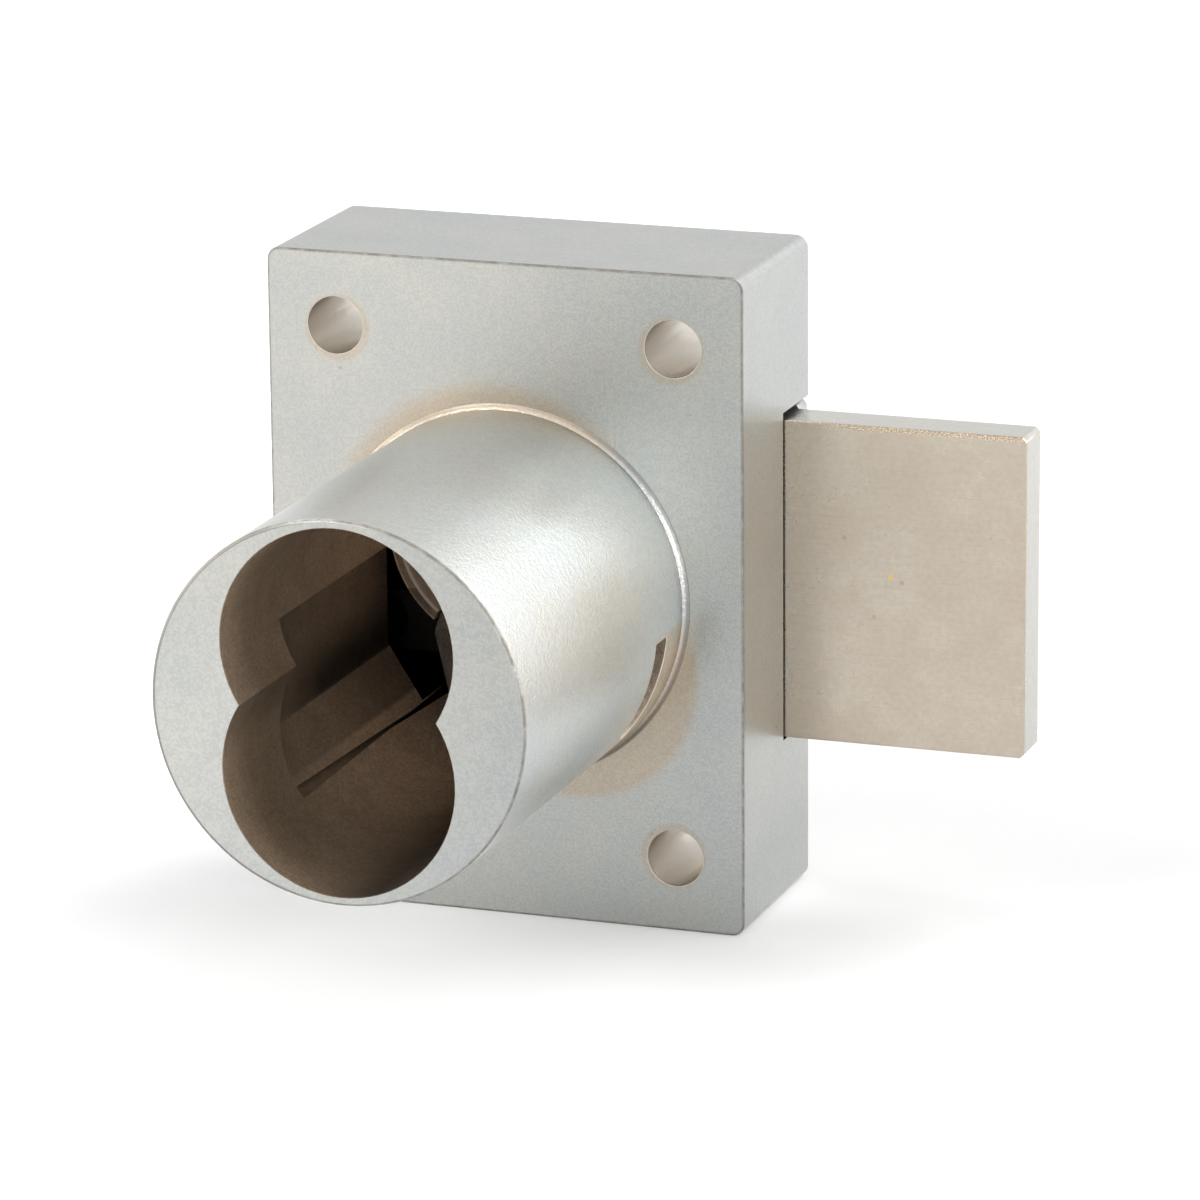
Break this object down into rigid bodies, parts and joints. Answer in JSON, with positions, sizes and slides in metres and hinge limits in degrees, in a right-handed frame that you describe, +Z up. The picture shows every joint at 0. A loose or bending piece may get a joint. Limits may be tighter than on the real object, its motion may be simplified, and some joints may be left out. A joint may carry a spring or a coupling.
{
  "type": "cabinet deadbolt lock",
  "caption": "Surface-mounted cabinet deadbolt: a flat case with a round barrel that takes a figure-eight key core, and a rectangular bolt thrown sideways by a crank.",
  "frame": {"origin": "on the barrel's axis, in the face of the case that lies on the door", "axes": "+X the way the bolt is thrown, -Y along the barrel towards its rim, +Y into the case, +Z up"},
  "size_m": [0.0571, 0.0508, 0.0512],
  "materials": {
    "satin_chrome": "zinc casting, finely blasted and satin chrome plated",
    "nickel_bolt": "steel, nickel plated, fine drawn scratches",
    "cover_steel": "sheet steel, satin plated",
    "screw_steel": "zinc plated steel",
    "driver_steel": "sintered steel",
    "pin_steel": "ground steel",
    "spring_steel": "blued spring steel",
    "washer_brass": "sheet brass"
  },
  "bodies": {
    "case": {"housing": "satin_chrome", "bolt_spring": "spring_steel", "disc_spring": "spring_steel", "keeper_plate": "cover_steel", "keeper_screws": "screw_steel", "cover_plate": "cover_steel", "cover_screws": "screw_steel"},
    "bolt": {"bolt": "nickel_bolt"},
    "driver": {"driver": "driver_steel", "drive_pin_upper": "pin_steel", "drive_pin_lower": "pin_steel", "thrust_washer": "washer_brass", "crank": "cover_steel", "crank_stud": "pin_steel"}
  },
  "joints": [
    {"name": "bolt_slide", "type": "slide", "parent": "case", "child": "bolt", "axis": [-1, 0, 0], "range_m": [0, 0.0191]},
    {"name": "driver_turn", "type": "hinge", "parent": "case", "child": "driver", "pos_m": [0, 0, -0.00476], "axis": [0, -1, 0], "range_deg": [0, 90]}
  ],
  "couplings": [
    {"joint": "driver_turn", "follows": "bolt_slide", "rad_per_m": 82.24}
  ]
}
